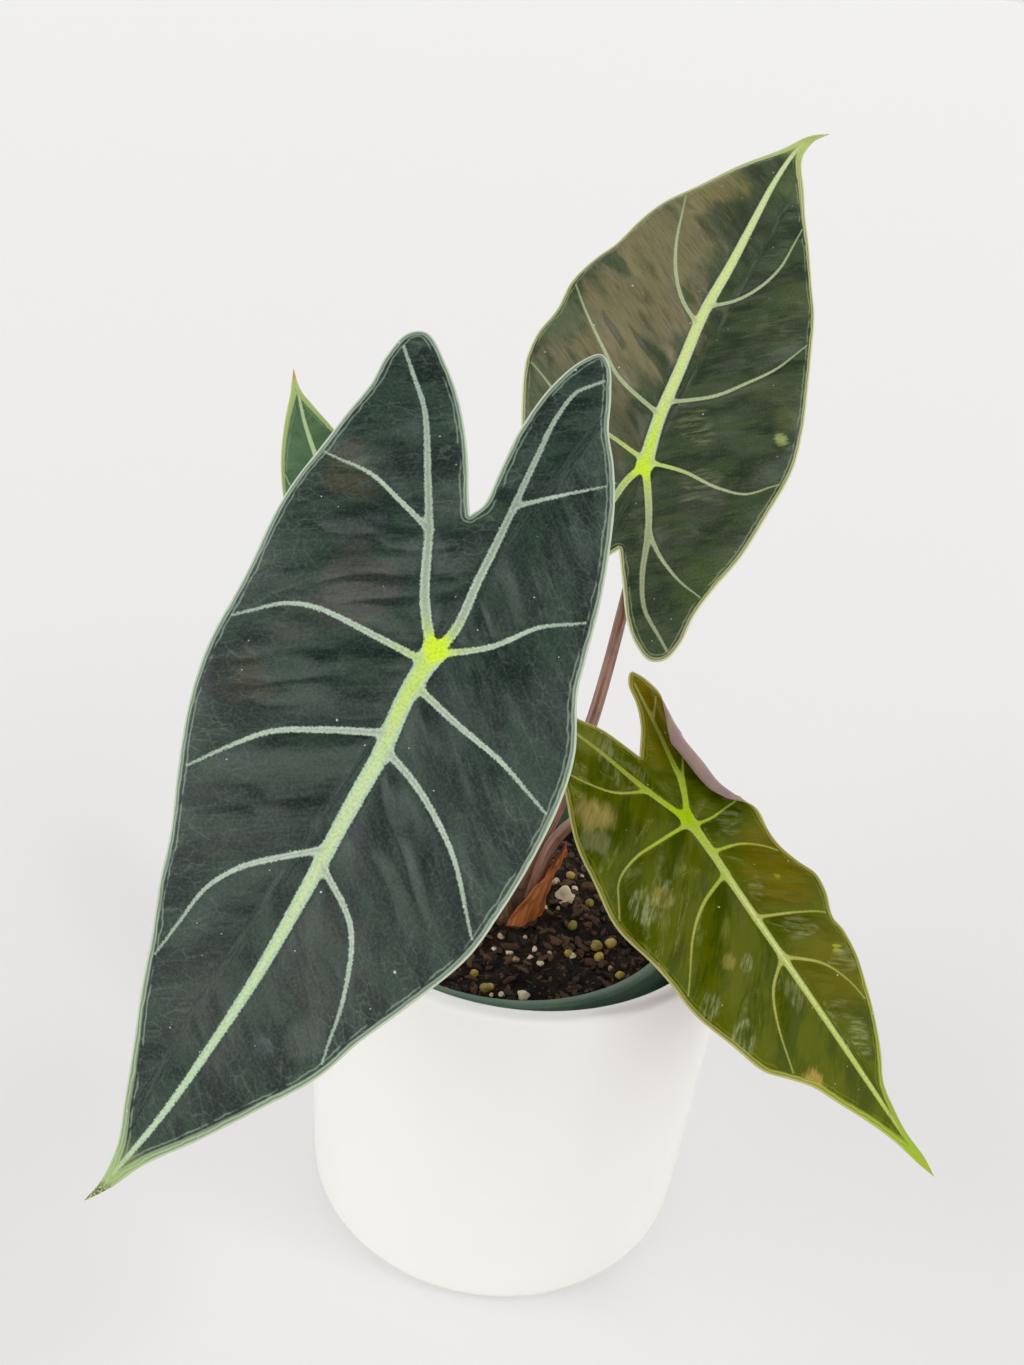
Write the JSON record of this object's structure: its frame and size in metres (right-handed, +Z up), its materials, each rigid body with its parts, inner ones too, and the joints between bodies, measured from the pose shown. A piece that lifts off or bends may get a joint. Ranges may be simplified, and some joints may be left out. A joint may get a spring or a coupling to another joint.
{
  "type": "potted dragon tooth alocasia",
  "caption": "Young potted alocasia with long arrow-shaped dark green leaves on slender stalks, in a nursery pot set inside a plain white glazed cachepot that stands on a flat foot.",
  "frame": {"origin": "centre of the outer pot's flat foot, on the surface that it stands on", "axes": "+Z up through the pot's axis; -Y is the side that the plant is seen from in the picture, and +X is to the viewer's right"},
  "size_m": [0.1947, 0.3025, 0.2858],
  "materials": {
    "white_glaze": "gloss",
    "green_plastic": "satin",
    "potting_mix": "matte",
    "crown_bark": "matte",
    "dry_sheath": "matte",
    "petiole": "satin",
    "leaf_dark": "satin",
    "leaf_olive": "satin",
    "leaf_glossy": "gloss",
    "leaf_far": "satin"
  },
  "bodies": {
    "root": {"outer_pot": "white_glaze", "nursery_pot": "green_plastic", "soil": "potting_mix", "crown": "crown_bark", "dry_sheath": "dry_sheath", "petiole_right": "petiole", "petiole_back": "petiole", "petiole_far": "petiole", "petiole_front": "petiole", "leaf_front": "leaf_dark", "leaf_back": "leaf_olive", "leaf_right": "leaf_glossy", "leaf_far": "leaf_far"}
  },
  "joints": []
}
